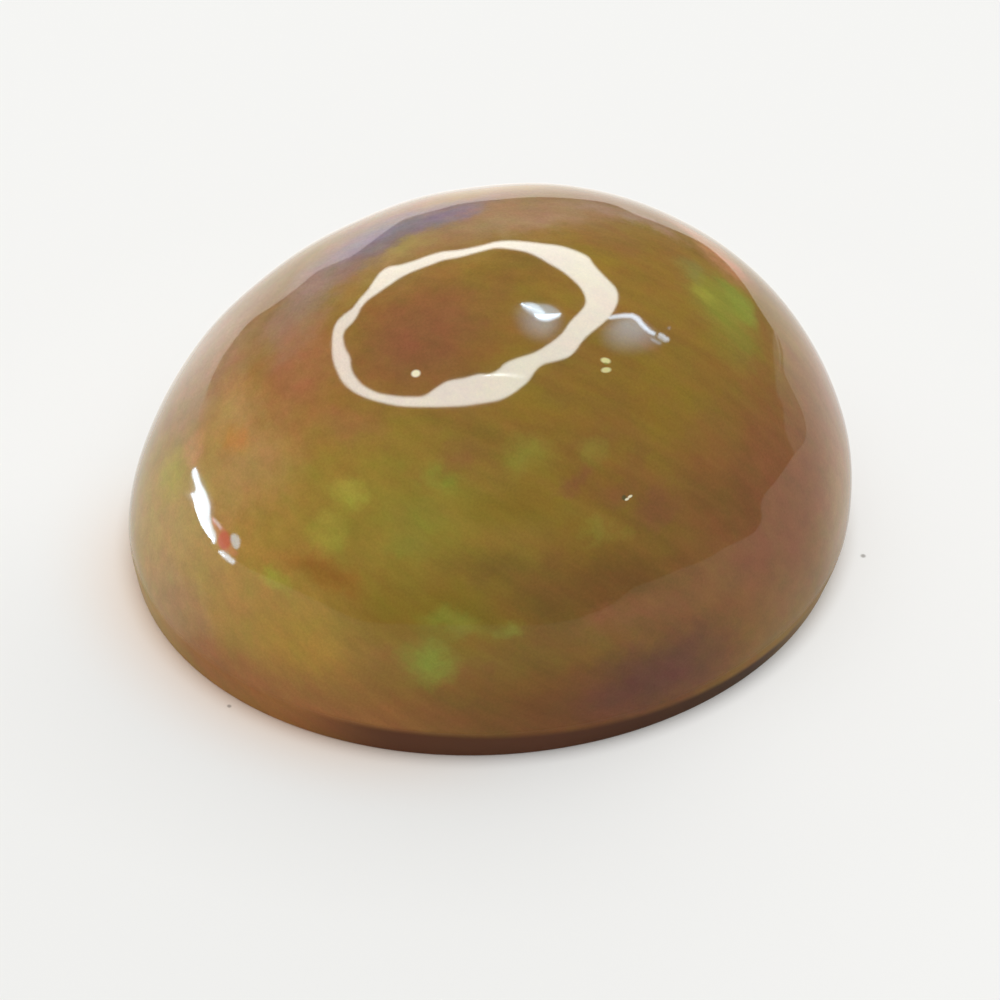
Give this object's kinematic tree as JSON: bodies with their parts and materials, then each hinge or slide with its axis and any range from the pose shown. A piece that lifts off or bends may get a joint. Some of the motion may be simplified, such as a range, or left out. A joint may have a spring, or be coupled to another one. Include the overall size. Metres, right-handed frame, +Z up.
{
  "type": "opal cabochon",
  "caption": "Loose oval opal cut as a high-domed cabochon, with a polished dome, a crisp girdle with a small bevel below it and a flat back to rest on or to set in a bezel.",
  "frame": {"origin": "the middle of the flat back, on the surface that the stone rests on", "axes": "+X along the oval's long axis, +Y along its short axis, +Z up through the apex of the dome"},
  "size_m": [0.012, 0.01, 0.006],
  "materials": {
    "opal": "polished translucent brown opal with soft green, orange-red and violet play of colour"
  },
  "bodies": {
    "root": {"cabochon": "opal"}
  },
  "joints": []
}
